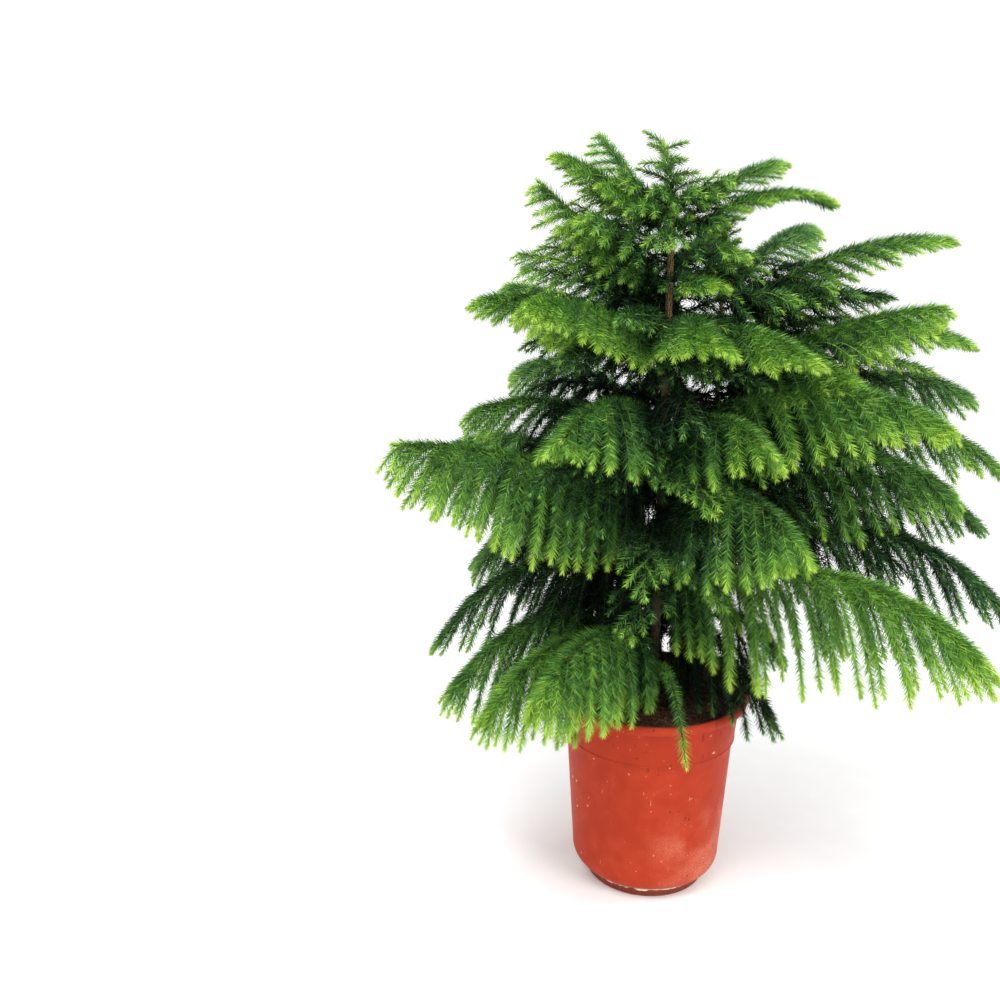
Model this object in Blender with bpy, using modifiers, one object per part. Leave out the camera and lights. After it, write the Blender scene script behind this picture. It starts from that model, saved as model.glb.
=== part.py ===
"""A Norfolk Island pine in its nursery pot, built as it grows.

A slender trunk and a second, thinner stem rise from the compost of a moulded pot. Each carries tiers of
flat fronds. A frond is one axis, bare and woody near the stem (the bough) and then set on both sides with
needle-clad branchlets (the foliage mass), which stand in for sprays as toothed blades.

Metres, +Z up. The origin is the centre of the pot's flat underside. Compass angles are seen from above:
0 degrees faces -Y, 90 degrees faces +X.
"""

import math
import random
from collections import Counter, namedtuple
from itertools import product

import bmesh
import bpy
import numpy as np
from mathutils import Matrix, Vector

# ------------------------------------------------------------------ driving dimensions
GAP = 0.0003  # clearance between two solids that touch on the real plant
SEED = 21

POT_HEIGHT = 0.219
RIM_RADIUS = 0.105
COLLAR_RADIUS = 0.0965  # just under the rolled rim
STEP_RADIUS = 0.0925  # where the collar steps in to the body
SHOULDER_RADIUS = 0.0815  # where the body rounds in to the foot
FOOT_RADIUS = 0.0655
RIM_LIP = 0.009
COLLAR_DEPTH = 0.050
SHOULDER_HEIGHT = 0.030
FOOT_HEIGHT = 0.010
WALL = 0.0020
POT_SIDES = 28

SOIL_BELOW_RIM = 0.014
SOIL_MOUND = 0.003  # how much higher the compost lies round the stems than at the wall

TRUNK_TOP = 0.729
TRUNK_RADIUS = 0.0056
TRUNK_TIP_RADIUS = 0.0030
SECOND_TOP = 0.668
SECOND_RADIUS = 0.0046
SECOND_TIP_RADIUS = 0.0016
FLARE = 0.5  # extra width at the compost, as a share of a stem's radius
FLARE_HEIGHT = 0.025
STAGGER = 0.005  # neighbouring fronds of a tier stand this much above and below its height

AXIS_RADIUS = 0.0010  # of a frond's axis where it begins, plus a share of its reach
AXIS_RADIUS_SHARE = 0.0030
BOUGH_SHARE = 0.14  # how much of a long frond is bare bough
BOUGH_FROM_REACH = 0.34  # fronds that reach further than this have a bough of their own
BOUGH_EXTRA_WIDTH = 1.12

PAIR_SPACING = 0.030  # between two pairs of blades, plus a share of the frond's reach
PAIR_SPACING_SHARE = 0.042
LAST_PAIR = 0.86  # how far out the last pair leaves the axis: the fan it makes ends the frond
BLADE_HALF_WIDTH = 0.0105
BLADE_THICKNESS = 0.60  # as a share of the half width
TOOTH_SPACING = 0.055
ONE_TOOTH_BLADE = 0.045  # a blade shorter than this has a single tooth
SHORTEST_BLADE = 0.022
CELL = 0.006  # edge of the cubes in which each frond claims its own space

# A stem's foot, its top and the sideways drift of its axis on the way up.
Stem = namedtuple("Stem", "name foot_x foot_y top drift_x radius tip_radius")
TRUNK = Stem("trunk", 0.003, 0.0, TRUNK_TOP, 0.001, TRUNK_RADIUS, TRUNK_TIP_RADIUS)
SECOND = Stem("second_stem", 0.066, 0.038, SECOND_TOP, -0.002, SECOND_RADIUS, SECOND_TIP_RADIUS)

# A tier of fronds: the stem, its height, the slope at which its fronds set off, the angle at which their
# branchlets end, their longest branchlet, and for each frond its compass angle, its reach and the height
# that its tip gains.
Tier = namedtuple("Tier", "name stem height climb hang longest fronds")
TIERS = (
    Tier("shoot", TRUNK, 0.250, 0.40, -45, 0.026, ((3, 0.165, -0.036),)),
    Tier("low", TRUNK, 0.262, 0.40, -78, 0.085, ((44, 0.152, -0.036),)),
    Tier("tier1", TRUNK, 0.275, 0.42, -84, 0.132, (
        (112, 0.170, -0.050), (160, 0.200, -0.040), (205, 0.215, -0.045),
        (286, 0.232, -0.048), (306, 0.228, -0.034), (322, 0.216, -0.004))),
    Tier("tier2", TRUNK, 0.339, 0.40, -78, 0.150, (
        (54, 0.335, -0.012), (92, 0.385, -0.046), (165, 0.275, -0.050),
        (222, 0.290, -0.050), (270, 0.235, -0.066))),
    Tier("tier3", TRUNK, 0.434, 0.42, -76, 0.124, (
        (24, 0.215, 0.010), (82, 0.295, 0.005), (140, 0.260, -0.010), (188, 0.290, 0.000),
        (238, 0.290, 0.015), (272, 0.240, 0.010), (300, 0.306, 0.090))),
    Tier("tier4", TRUNK, 0.504, 0.45, -62, 0.100, (
        (22, 0.170, 0.020), (62, 0.275, 0.018), (172, 0.240, 0.020), (216, 0.250, 0.030),
        (281, 0.200, 0.030), (328, 0.218, 0.020))),
    Tier("tier5", TRUNK, 0.589, 0.50, -46, 0.074, (
        (44, 0.165, 0.000), (178, 0.195, 0.045), (234, 0.200, 0.060), (277, 0.195, 0.042),
        (316, 0.211, 0.057), (5, 0.150, 0.010))),
    Tier("tier6", TRUNK, 0.644, 0.65, -28, 0.060, (
        (30, 0.070, 0.012), (150, 0.140, 0.050), (208, 0.150, 0.055), (282, 0.137, 0.100))),
    Tier("tier7", TRUNK, 0.694, 0.95, -8, 0.052, (
        (78, 0.150, 0.034), (118, 0.135, 0.071), (207, 0.138, 0.114), (282, 0.117, 0.073))),
    Tier("side1", SECOND, 0.394, 0.30, -72, 0.130, ((112, 0.395, -0.045),)),
    Tier("side2", SECOND, 0.490, 0.35, -64, 0.110, (
        (86, 0.310, -0.038), (114, 0.370, 0.012), (150, 0.255, 0.005))),
    Tier("side3", SECOND, 0.554, 0.50, -44, 0.080, (
        (42, 0.155, 0.015), (72, 0.216, 0.072), (103, 0.305, 0.026), (168, 0.210, 0.030))),
    Tier("side4", SECOND, 0.619, 0.72, -26, 0.062, ((90, 0.235, 0.078), (140, 0.215, 0.080))),
)
LEADER_LENGTH = 0.056
LEADER_SPRAYS = 8
LEADER_LEAN = -0.22  # the trunk's growing point nods towards -X
SECOND_LEADER_LENGTH = 0.048

Frond = namedtuple("Frond", "name stem height climb hang longest angle reach rise")


# ------------------------------------------------------------------ where everything grows
def soil_top():
    return POT_HEIGHT - SOIL_BELOW_RIM + SOIL_MOUND


def stem_share(stem, height):
    """How far up its stem a height lies, from 0 at the compost to 1 at the top."""
    return (height - soil_top()) / (stem.top - soil_top())


def stem_axis(stem, height):
    """The stem's centre at a height: a straight line that drifts sideways."""
    return Vector((stem.foot_x + stem.drift_x * stem_share(stem, height), stem.foot_y, height))


def stem_radius(stem, height):
    """A steady taper, with a flare that dies out just above the compost."""
    taper = stem.radius + (stem.tip_radius - stem.radius) * stem_share(stem, height)
    return taper + FLARE * stem.radius * math.exp(-(height - soil_top()) / (FLARE_HEIGHT / 2))


def heading(angle):
    """The level direction of a compass angle."""
    return Vector((math.sin(math.radians(angle)), -math.cos(math.radians(angle)), 0))


def axis_radius(frond, share):
    """A frond's axis is thicker the further it reaches, and tapers to half of its width by the tip."""
    return (AXIS_RADIUS + AXIS_RADIUS_SHARE * frond.reach) * (1 - 0.5 * share)


def frond_point(frond, share):
    """The frond's axis: out along its heading, and up on an arch that sets off at climb and ends at rise. The
    more a frond's branchlets hang, the later its own arch turns down."""
    lean = frond.climb / math.hypot(1, frond.climb)
    start = stem_radius(frond.stem, frond.height) + GAP + BOUGH_EXTRA_WIDTH * axis_radius(frond, 0) * lean
    sag = frond.climb - frond.rise / frond.reach
    out = start + (frond.reach - start) * share
    up = frond.reach * (frond.climb * share - sag * share ** (2 - frond.hang / 80))
    return stem_axis(frond.stem, frond.height) + heading(frond.angle) * out + Vector((0, 0, up))


def frond_direction(frond, share):
    step = 0.01
    return (frond_point(frond, share + step) - frond_point(frond, share - step)).normalized()


def all_fronds():
    """Every frond of every tier. Neighbours stand a little above and below each other."""
    return [
        Frond(f"{tier.name}_{number}", tier.stem, tier.height + STAGGER * (-1) ** number,
              tier.climb, tier.hang, tier.longest, *sizes)
        for tier in TIERS
        for number, sizes in enumerate(tier.fronds, start=1)
    ]


def bough_share(frond):
    return BOUGH_SHARE if frond.reach > BOUGH_FROM_REACH else 0.0


# ------------------------------------------------------------------ Blender helpers
def fresh_collection(name):
    collection = bpy.data.collections.new(name)
    bpy.context.scene.collection.children.link(collection)
    return collection


def material(name, colour, roughness):
    made = bpy.data.materials.new(name)
    made.use_nodes = True
    shader = made.node_tree.nodes["Principled BSDF"]
    shader.inputs["Base Color"].default_value = (*colour, 1.0)
    shader.inputs["Roughness"].default_value = roughness
    shader.inputs["Metallic"].default_value = 0.0
    return made


def profile_curve(name, corners):
    """A closed outline for a curve to carry along: its own X is the width and its Y the height."""
    curve = bpy.data.curves.new(name, "CURVE")
    curve.dimensions = "2D"
    spline = curve.splines.new("POLY")
    spline.points.add(len(corners) - 1)
    for point, (across, up) in zip(spline.points, corners):
        point.co = (across, up, 0, 1)
    spline.use_cyclic_u = True
    outline = bpy.data.objects.new(name, curve)
    outline.hide_render = True
    bpy.context.scene.collection.objects.link(outline)
    return outline


def swept(name, points, radii, profile, collection):
    """A limb or a blade: the profile carried along the points and scaled by the radii, as a closed mesh."""
    curve = bpy.data.curves.new(name, "CURVE")
    curve.dimensions = "3D"
    curve.twist_mode = "Z_UP"
    curve.bevel_mode = "OBJECT"
    curve.bevel_object = profile
    curve.use_fill_caps = True
    spline = curve.splines.new("POLY")
    spline.points.add(len(points) - 1)
    for point, place, radius in zip(spline.points, points, radii):
        point.co = (*place, 1)
        point.radius = radius
    path = bpy.data.objects.new(name + "_path", curve)
    collection.objects.link(path)
    mesh = evaluated_mesh(path)
    bpy.data.objects.remove(path)
    weld(mesh)
    limb = bpy.data.objects.new(name, mesh)
    collection.objects.link(limb)
    return limb


def evaluated_mesh(obj):
    graph = bpy.context.evaluated_depsgraph_get()
    return bpy.data.meshes.new_from_object(obj.evaluated_get(graph))


def weld(mesh):
    """Joins the caps to the sides, closes a tip that came to a point, and turns every face outwards."""
    work = bmesh.new()
    work.from_mesh(mesh)
    bmesh.ops.remove_doubles(work, verts=work.verts, dist=1e-6)
    bmesh.ops.dissolve_degenerate(work, edges=work.edges, dist=1e-7)
    bmesh.ops.recalc_face_normals(work, faces=work.faces)
    work.to_mesh(mesh)
    work.free()


def is_closed(mesh):
    """True if two faces meet at every edge."""
    sides = Counter(tuple(sorted(edge)) for face in mesh.polygons for edge in face.edge_keys)
    return all(count == 2 for count in sides.values())


def keep_main_shell(mesh):
    """Drops loose scraps and sealed hollows: every shell but the largest."""
    work = bmesh.new()
    work.from_mesh(mesh)
    unseen = set(work.faces)
    shells = []
    while unseen:
        shell, edge = set(), {unseen.pop()}
        while edge:
            face = edge.pop()
            shell.add(face)
            near = {other for side in face.edges for other in side.link_faces}
            edge |= near - shell
        unseen -= shell
        shells.append(shell)
    shells.sort(key=len)
    scraps = [face for shell in shells[:-1] for face in shell]
    bmesh.ops.delete(work, geom=scraps, context="FACES")
    work.to_mesh(mesh)
    work.free()


def fuse(stem, tools):
    """One Boolean union joins a collection of blades to their stem. The blades are then removed."""
    for solver in ("EXACT", "MANIFOLD"):
        union = stem.modifiers.new("fuse", "BOOLEAN")
        union.operation = "UNION"
        union.solver = solver
        union.operand_type = "COLLECTION"
        union.collection = tools
        mesh = evaluated_mesh(stem)
        stem.modifiers.clear()
        if is_closed(mesh):
            break
    keep_main_shell(mesh)
    stem.data = mesh
    for blade in list(tools.objects):
        bpy.data.objects.remove(blade)
    bpy.data.collections.remove(tools)


# ------------------------------------------------------------------ pot and compost
def pot_outside():
    """The pot's outer wall from the foot's edge up to the rim, as radius and height."""
    return [
        (FOOT_RADIUS, 0),
        (FOOT_RADIUS + 0.0005, FOOT_HEIGHT),
        (SHOULDER_RADIUS - 0.008, SHOULDER_HEIGHT - 0.015),
        (SHOULDER_RADIUS - 0.0018, SHOULDER_HEIGHT - 0.007),
        (SHOULDER_RADIUS, SHOULDER_HEIGHT),
        (STEP_RADIUS - 0.0020, POT_HEIGHT - COLLAR_DEPTH - 0.001),
        (STEP_RADIUS, POT_HEIGHT - COLLAR_DEPTH),
        (COLLAR_RADIUS, POT_HEIGHT - RIM_LIP - 0.003),
        (RIM_RADIUS - 0.0015, POT_HEIGHT - RIM_LIP),
        (RIM_RADIUS, POT_HEIGHT - RIM_LIP + 0.003),
        (RIM_RADIUS - 0.0008, POT_HEIGHT - 0.0015),
        (RIM_RADIUS - 0.0035, POT_HEIGHT),
    ]


def inner_wall():
    """The inner wall from the compost's level down to the floor's edge."""
    level = POT_HEIGHT - SOIL_BELOW_RIM
    return [
        (COLLAR_RADIUS - WALL, level),
        (STEP_RADIUS - 2 * WALL, POT_HEIGHT - COLLAR_DEPTH),
        (SHOULDER_RADIUS - WALL, SHOULDER_HEIGHT),
        (SHOULDER_RADIUS - WALL - 0.010, SHOULDER_HEIGHT - 0.015),
        (FOOT_RADIUS - WALL, WALL),
    ]


def turned(name, profile, sides, collection):
    """A profile of radius and height, spun once round the pot's axis."""
    mesh = bpy.data.meshes.new(name)
    edges = [(i, i + 1) for i in range(len(profile) - 1)]
    mesh.from_pydata([(radius, 0, height) for radius, height in profile], edges, [])
    body = bpy.data.objects.new(name, mesh)
    collection.objects.link(body)
    spin = body.modifiers.new("spin", "SCREW")
    spin.steps = spin.render_steps = sides
    spin.use_merge_vertices = True
    spin.merge_threshold = 1e-5
    spun = evaluated_mesh(body)
    body.modifiers.clear()
    weld(spun)
    spun.shade_smooth()
    spun.set_sharp_from_angle(angle=math.radians(35))
    body.data = spun
    return body


def make_pot(collection):
    inside = [(COLLAR_RADIUS + 0.001, POT_HEIGHT - 0.0025)] + inner_wall() + [(0, WALL), (0, 0)]
    profile = pot_outside() + inside
    return turned("pot", profile + profile[:1], POT_SIDES, collection)


def make_compost(collection):
    """The root ball fills the pot, clear of its walls, and rises a little round the stems."""
    wall = [(radius - GAP, height) for radius, height in inner_wall()]
    wall[-1] = (wall[-1][0], WALL + GAP)
    top = [(0, soil_top()), (0.84 * COLLAR_RADIUS, soil_top())]
    return turned("compost", top + wall + [(0, WALL + GAP)], POT_SIDES, collection)


# ------------------------------------------------------------------ stems and boughs
def make_stem(stem, profile, collection):
    foot = soil_top() + GAP
    heights = [foot, foot + 0.008, foot + FLARE_HEIGHT]
    steps = 6
    heights += [foot + FLARE_HEIGHT + (stem.top - foot - FLARE_HEIGHT) * k / steps for k in range(1, steps + 1)]
    points = [stem_axis(stem, height) for height in heights]
    radii = [stem_radius(stem, height) for height in heights]
    return swept(stem.name, points, radii, profile, collection)


def make_bough(frond, profile, collection):
    """The bare woody foot of a long frond, up to where its foliage begins."""
    end = bough_share(frond)
    shares = [end * k / 3 for k in range(4)]
    points = [frond_point(frond, share) for share in shares]
    radii = [BOUGH_EXTRA_WIDTH * axis_radius(frond, share) for share in shares]
    return swept(f"bough_{frond.name}", points, radii, profile, collection)


# ------------------------------------------------------------------ foliage
def blade_points(root, level_heading, slopes, length, count):
    """A rib that sets off at the first slope and soon bends over to the last, both in degrees."""
    points = [Vector(root)]
    for step in range(1, count):
        bend = 1 - (1 - (step - 0.5) / (count - 1)) ** 3
        slope = math.radians(slopes[0] + (slopes[1] - slopes[0]) * bend)
        ahead = level_heading * math.cos(slope) + Vector((0, 0, math.sin(slope)))
        points.append(points[-1] + ahead * length / (count - 1))
    return points


def tooth_rhythm(length):
    """Shares along the blade and half-widths: each tooth swells outwards, then cuts back to the rib."""
    teeth = max(1 if length < ONE_TOOTH_BLADE else 2, round(length / TOOTH_SPACING))
    shares, widths = [0.0], [0.16]
    for tooth in range(teeth):
        narrowing = 1 - 0.35 * tooth / teeth
        shares.append((tooth + 0.80) / (teeth + 0.45))
        widths.append(narrowing)
        if tooth < teeth - 1:
            shares.append((tooth + 1.0) / (teeth + 0.45))
            widths.append(0.45 * narrowing)
    return shares + [1.0], widths + [0.0]


def make_blade(name, root, level_heading, slopes, length, profile, collection):
    shares, widths = tooth_rhythm(length)
    fine = blade_points(root, level_heading, slopes, length, 13)
    points = [fine[0]]
    for share in shares[1:]:
        whole, part = divmod(share * 12, 1)
        whole = min(int(whole), 11)
        points.append(fine[whole].lerp(fine[whole + 1], part if share < 1 else 1))
    half = BLADE_HALF_WIDTH * min(1.0, 0.45 + length / 0.10)
    return swept(name, points, [half * width for width in widths], profile, collection)


def blade_surface(root, level_heading, slopes, length):
    """Points all over the blade, less than a cell apart."""
    rib = blade_points(root, level_heading, slopes, length, math.ceil(length / 0.004) + 1)
    side = level_heading.cross(Vector((0, 0, 1)))
    surface = []
    for before, point in zip(rib, rib[1:]):
        ridge = side.cross((point - before).normalized()) * BLADE_THICKNESS
        for across, up in ((-1, 0), (-0.5, 0), (0, 0), (0.5, 0), (1, 0), (0, 1)):
            surface.append(point + BLADE_HALF_WIDTH * (side * across + ridge * up))
    return surface


def cell(point):
    return tuple(math.floor(value / CELL) for value in point)


def claim(space, points, name):
    """Marks the cells round the points as taken, unless another frond took them first."""
    for x, y, z in {cell(point) for point in points}:
        for step in product((-1, 0, 1), repeat=3):
            space.setdefault((x + step[0], y + step[1], z + step[2]), set()).add(name)


def is_free(space, points, name):
    """True where no cell is taken by another frond or a stem, and the points stay clear of the pot."""
    taken = any(space.get(cell(point), set()) - {name} for point in points)
    return not taken and all(clear_of_pot(point) for point in points)


def clear_of_pot(point):
    """Above the rim, or outside it, or within it and above the compost."""
    away = math.hypot(point.x, point.y)
    inside = away < COLLAR_RADIUS - 0.010 and point.z > soil_top() + 0.004
    return point.z > POT_HEIGHT + 0.004 or away > RIM_RADIUS + 0.004 or inside


def claimed_by_axes(fronds):
    """The space taken before any blade grows: both stems, their growing points, and every frond's axis."""
    space = {}
    for stem in (TRUNK, SECOND):
        top = stem.top + LEADER_LENGTH
        heights = np.arange(soil_top(), top, 0.004)
        claim(space, [stem_axis(stem, height) for height in heights], stem.name)
        crown = [stem_axis(stem, height) + heading(60 * k) * 0.025
                 for height in heights if height > stem.top for k in range(6)]
        claim(space, crown, stem.name)
    for frond in fronds:
        steps = math.ceil(frond.reach / 0.003)
        claim(space, [frond_point(frond, k / steps) for k in range(steps)], frond.name)
        claim(space, blade_surface(*tip_blade(frond)), frond.name)
    return space


def blade_length(frond, share):
    """Branchlets are longest in the middle of a frond and still long where its fan ends it."""
    longest = min(frond.longest, 0.56 * frond.reach)
    return longest * min(1.0, 0.55 + 1.5 * share) * (1 - 0.48 * (share / LAST_PAIR) ** 4)


def tip_blade(frond):
    """Root, heading, slopes and length of the blade that ends the axis."""
    ahead = frond_direction(frond, 0.95)
    slope = math.degrees(math.asin(ahead.z))
    level = Vector((ahead.x, ahead.y, 0)).normalized()
    return frond_point(frond, 0.85), level, (slope, slope - 8), 0.15 * frond.reach + 0.008


def frond_blades(frond, space, dice):
    """Root, heading, slopes and length of each blade: pairs along the axis and one that ends it."""
    first = bough_share(frond) + 0.012 / frond.reach + 0.02
    spacing = PAIR_SPACING + PAIR_SPACING_SHARE * frond.reach
    pairs = max(2, round(frond.reach * (LAST_PAIR - first) / spacing))
    grown = [tip_blade(frond)]
    for pair, side in product(range(pairs), (-1, 1)):
        share = first + (LAST_PAIR - first) * (pair + 0.25 * dice.random() * (1 + side)) / (pairs - 0.5)
        ahead = frond_direction(frond, share)
        turn = math.radians(62 - 38 * share + dice.uniform(-4, 4)) * side
        level = Matrix.Rotation(turn, 3, "Z") @ Vector((ahead.x, ahead.y, 0)).normalized()
        droop = frond.hang * (1 - 0.25 * (share / LAST_PAIR) ** 2)
        slopes = (math.degrees(math.asin(ahead.z)) * math.cos(turn) + 4, droop * dice.uniform(0.85, 1))
        full = blade_length(frond, share) * dice.uniform(0.92, 1.04)
        root = frond_point(frond, share)
        for trim in (1.0, 0.85, 0.7, 0.55, 0.42, 0.3):
            blade = (root, level, slopes, full * trim)
            if full * trim > SHORTEST_BLADE and is_free(space, blade_surface(*blade), frond.name):
                claim(space, blade_surface(*blade), frond.name)
                grown.append(blade)
                break
    return grown


def make_foliage(frond, space, stem_profile, blade_profile, collection):
    """One mass: the frond's needle-bearing axis with its blades fused on."""
    dice = random.Random(f"{SEED}{frond.name}")
    begin = bough_share(frond) and bough_share(frond) + GAP / frond.reach
    shares = [begin + (0.93 - begin) * k / 5 for k in range(6)]
    points = [frond_point(frond, share) for share in shares]
    radii = [axis_radius(frond, share) for share in shares]
    stem = swept(f"foliage_{frond.name}", points, radii, stem_profile, collection)
    tools = fresh_collection(f"blades_{frond.name}")
    for number, sizes in enumerate(frond_blades(frond, space, dice)):
        make_blade(f"blade_{number}", *sizes, blade_profile, tools)
    fuse(stem, tools)
    return stem


def make_leader(stem, length, stem_profile, blade_profile, collection):
    """The growing point: an upright shoot with short sprays round it in rings."""
    foot = stem_axis(stem, stem.top) + Vector((0, 0, GAP))
    lean = Vector((LEADER_LEAN if stem is TRUNK else 0, 0, 1))
    points = [foot, foot + Vector((0, 0, 0.1 * length)), foot + lean * 0.5 * length, foot + lean * length]
    radii = [stem.tip_radius * share for share in (1, 0.95, 0.8, 0.4)]
    shoot = swept(f"foliage_{stem.name}_leader", points, radii, stem_profile, collection)
    tools = fresh_collection(f"blades_{stem.name}_leader")
    for spray in range(LEADER_SPRAYS):
        share = 0.22 + 0.66 * spray / (LEADER_SPRAYS - 1)
        level = heading(137.5 * spray + 20)
        root = foot + lean * length * share - level * 0.0004
        make_blade(f"blade_{spray}", root, level, (38, 8), length * (0.74 - 0.36 * share), blade_profile, tools)
    fuse(shoot, tools)
    return shoot


# ------------------------------------------------------------------ assembly
def main():
    for obj in list(bpy.data.objects):
        bpy.data.objects.remove(obj)
    plant = fresh_collection("norfolk_island_pine")
    plastic = material("terracotta_plastic", (0.56, 0.115, 0.06), 0.45)
    compost = material("compost", (0.035, 0.016, 0.010), 0.95)
    bark = material("young_bark", (0.24, 0.12, 0.05), 0.8)
    needles = material("needles", (0.05, 0.19, 0.03), 0.5)

    round_profile = profile_curve("round_outline", [heading(36 * k).xy for k in range(10)])
    square_profile = profile_curve("square_outline", [heading(90 * k + 45).xy for k in range(4)])
    three_sided = profile_curve("three_sided_outline", [heading(120 * k + 180).xy for k in range(3)])
    blade_profile = profile_curve("blade_outline", [(-1, 0), (0, BLADE_THICKNESS), (1, 0)])

    solids = {
        plastic: [make_pot(plant)],
        compost: [make_compost(plant)],
        bark: [make_stem(stem, round_profile, plant) for stem in (TRUNK, SECOND)],
        needles: [],
    }
    fronds = all_fronds()
    space = claimed_by_axes(fronds)
    for frond in reversed(fronds):
        if bough_share(frond):
            solids[bark].append(make_bough(frond, square_profile, plant))
        solids[needles].append(make_foliage(frond, space, three_sided, blade_profile, plant))
    solids[needles].append(make_leader(TRUNK, LEADER_LENGTH, three_sided, blade_profile, plant))
    solids[needles].append(make_leader(SECOND, SECOND_LEADER_LENGTH, three_sided, blade_profile, plant))
    for finish, objects in solids.items():
        for obj in objects:
            obj.data.materials.clear()
            obj.data.materials.append(finish)
    for outline in (round_profile, square_profile, three_sided, blade_profile):
        bpy.data.objects.remove(outline)


main()
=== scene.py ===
import math

import bpy
import numpy as np
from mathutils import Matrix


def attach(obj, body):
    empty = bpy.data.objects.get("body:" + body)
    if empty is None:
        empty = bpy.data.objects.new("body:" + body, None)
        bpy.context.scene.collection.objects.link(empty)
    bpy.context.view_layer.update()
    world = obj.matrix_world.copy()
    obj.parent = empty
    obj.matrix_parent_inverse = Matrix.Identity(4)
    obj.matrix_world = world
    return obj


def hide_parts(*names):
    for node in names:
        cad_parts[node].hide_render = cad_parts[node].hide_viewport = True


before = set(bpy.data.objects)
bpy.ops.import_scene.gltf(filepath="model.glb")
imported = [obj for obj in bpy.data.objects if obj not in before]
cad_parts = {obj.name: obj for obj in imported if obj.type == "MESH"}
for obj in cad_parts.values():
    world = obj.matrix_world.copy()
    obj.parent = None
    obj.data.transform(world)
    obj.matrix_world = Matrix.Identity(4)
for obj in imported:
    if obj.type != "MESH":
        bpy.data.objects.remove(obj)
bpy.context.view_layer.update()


# ======================================================================= the studio
# A pale floor under a wide overhead light, a smaller light from the right and a bright, even surround. The
# camera stands in front, above the middle of the foliage, and looks down a little.


def node(tree, kind, inputs=(), **settings):
    """Adds a shader node. An input given as a socket is linked, and any other value is set on it."""
    made = tree.nodes.new("ShaderNode" + kind)
    for key, value in settings.items():
        setattr(made, key, value)
    for key, value in dict(inputs).items():
        if isinstance(value, bpy.types.NodeSocket):
            tree.links.new(value, made.inputs[key])
        else:
            made.inputs[key].default_value = value
    return made


def mixed(tree, share, first, second):
    """The first colour where share is 0, the second where it is 1."""
    colours = [c if isinstance(c, bpy.types.NodeSocket) else (*c, 1.0) for c in (first, second)]
    return node(tree, "Mix", {0: share, 6: colours[0], 7: colours[1]}, data_type="RGBA").outputs[2]


def between(tree, value, low, high):
    """0 where the value is at low, 1 where it is at high, and a smooth step in between."""
    steps = {"Value": value, "From Min": low, "From Max": high}
    return node(tree, "MapRange", steps, interpolation_type="SMOOTHSTEP").outputs[0]


def maths(tree, operation, *values):
    """One sum on up to three values."""
    return node(tree, "Math", dict(enumerate(values)), operation=operation).outputs[0]


def noise(tree, place, scale, detail=3.0):
    """Soft random values from 0 to 1, about `scale` of them to the metre."""
    return node(tree, "TexNoise", {"Vector": place, "Scale": scale, "Detail": detail}).outputs[0]


def make_mottle():
    """A node group: one colour drifting into another in soft patches, with finer patches on top."""
    tree = bpy.data.node_groups.new("mottle", "ShaderNodeTree")
    for label, kind in (("Dark", "Color"), ("Light", "Color"), ("Scale", "Float"), ("Fine", "Float")):
        tree.interface.new_socket(label, in_out="INPUT", socket_type="NodeSocket" + kind)
    for label, kind in (("Color", "Color"), ("Height", "Float")):
        tree.interface.new_socket(label, in_out="OUTPUT", socket_type="NodeSocket" + kind)
    given = tree.nodes.new("NodeGroupInput").outputs
    place = node(tree, "TexCoord").outputs["Object"]
    broad = noise(tree, place, given["Scale"])
    fine = noise(tree, place, given["Fine"], 2.0)
    height = maths(tree, "ADD", maths(tree, "MULTIPLY", broad, 0.6), maths(tree, "MULTIPLY", fine, 0.4))
    share = between(tree, height, 0.36, 0.64)
    out = tree.nodes.new("NodeGroupOutput").inputs
    tree.links.new(mixed(tree, share, given["Dark"], given["Light"]), out["Color"])
    tree.links.new(height, out["Height"])
    return tree


mottle = make_mottle()


def finish(name, roughness):
    """A new material: its node tree and its Principled shader's inputs."""
    made = bpy.data.materials.new(name)
    made.use_nodes = True
    shader = made.node_tree.nodes["Principled BSDF"].inputs
    shader["Roughness"].default_value = roughness
    return made, made.node_tree, shader


def mottled(tree, dark, light, scale, fine):
    """The mottle group placed in a material with its own two colours and patch sizes."""
    inputs = {"Dark": (*dark, 1), "Light": (*light, 1), "Scale": scale, "Fine": fine}
    made = tree.nodes.new("ShaderNodeGroup")
    made.node_tree = mottle
    for key, value in inputs.items():
        made.inputs[key].default_value = value
    return made.outputs["Color"], made.outputs["Height"]


floor_mesh = bpy.data.meshes.new("floor")
floor_mesh.from_pydata([(-9, -9, 0), (9, -9, 0), (9, 9, 0), (-9, 9, 0)], [], [(0, 1, 2, 3)])
floor = bpy.data.objects.new("floor", floor_mesh)
bpy.context.scene.collection.objects.link(floor)
pale, tree, shader = finish("pale_floor", 0.7)
tree.links.new(mottled(tree, (0.92, 0.92, 0.92), (0.95, 0.95, 0.95), 1.2, 30.0)[0], shader["Base Color"])
floor_mesh.materials.append(pale)

surround = bpy.data.worlds.new("surround")
surround.use_nodes = True
surround.node_tree.nodes["Background"].inputs["Color"].default_value = (1.0, 1.0, 1.0, 1.0)
surround.node_tree.nodes["Background"].inputs["Strength"].default_value = 1.12
bpy.context.scene.world = surround

for label, place, turn, size, watts in (
    ("overhead", (-0.5, -0.7, 2.3), (18, -12, 0), 1.4, 42),
    ("window", (1.3, -1.5, 1.3), (62, 0, 41), 0.9, 16),
):
    lamp = bpy.data.lights.new(label, "AREA")
    lamp.size = size
    lamp.energy = watts
    light = bpy.data.objects.new(label, lamp)
    light.location = place
    light.rotation_euler = [math.radians(value) for value in turn]
    bpy.context.scene.collection.objects.link(light)

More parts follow.
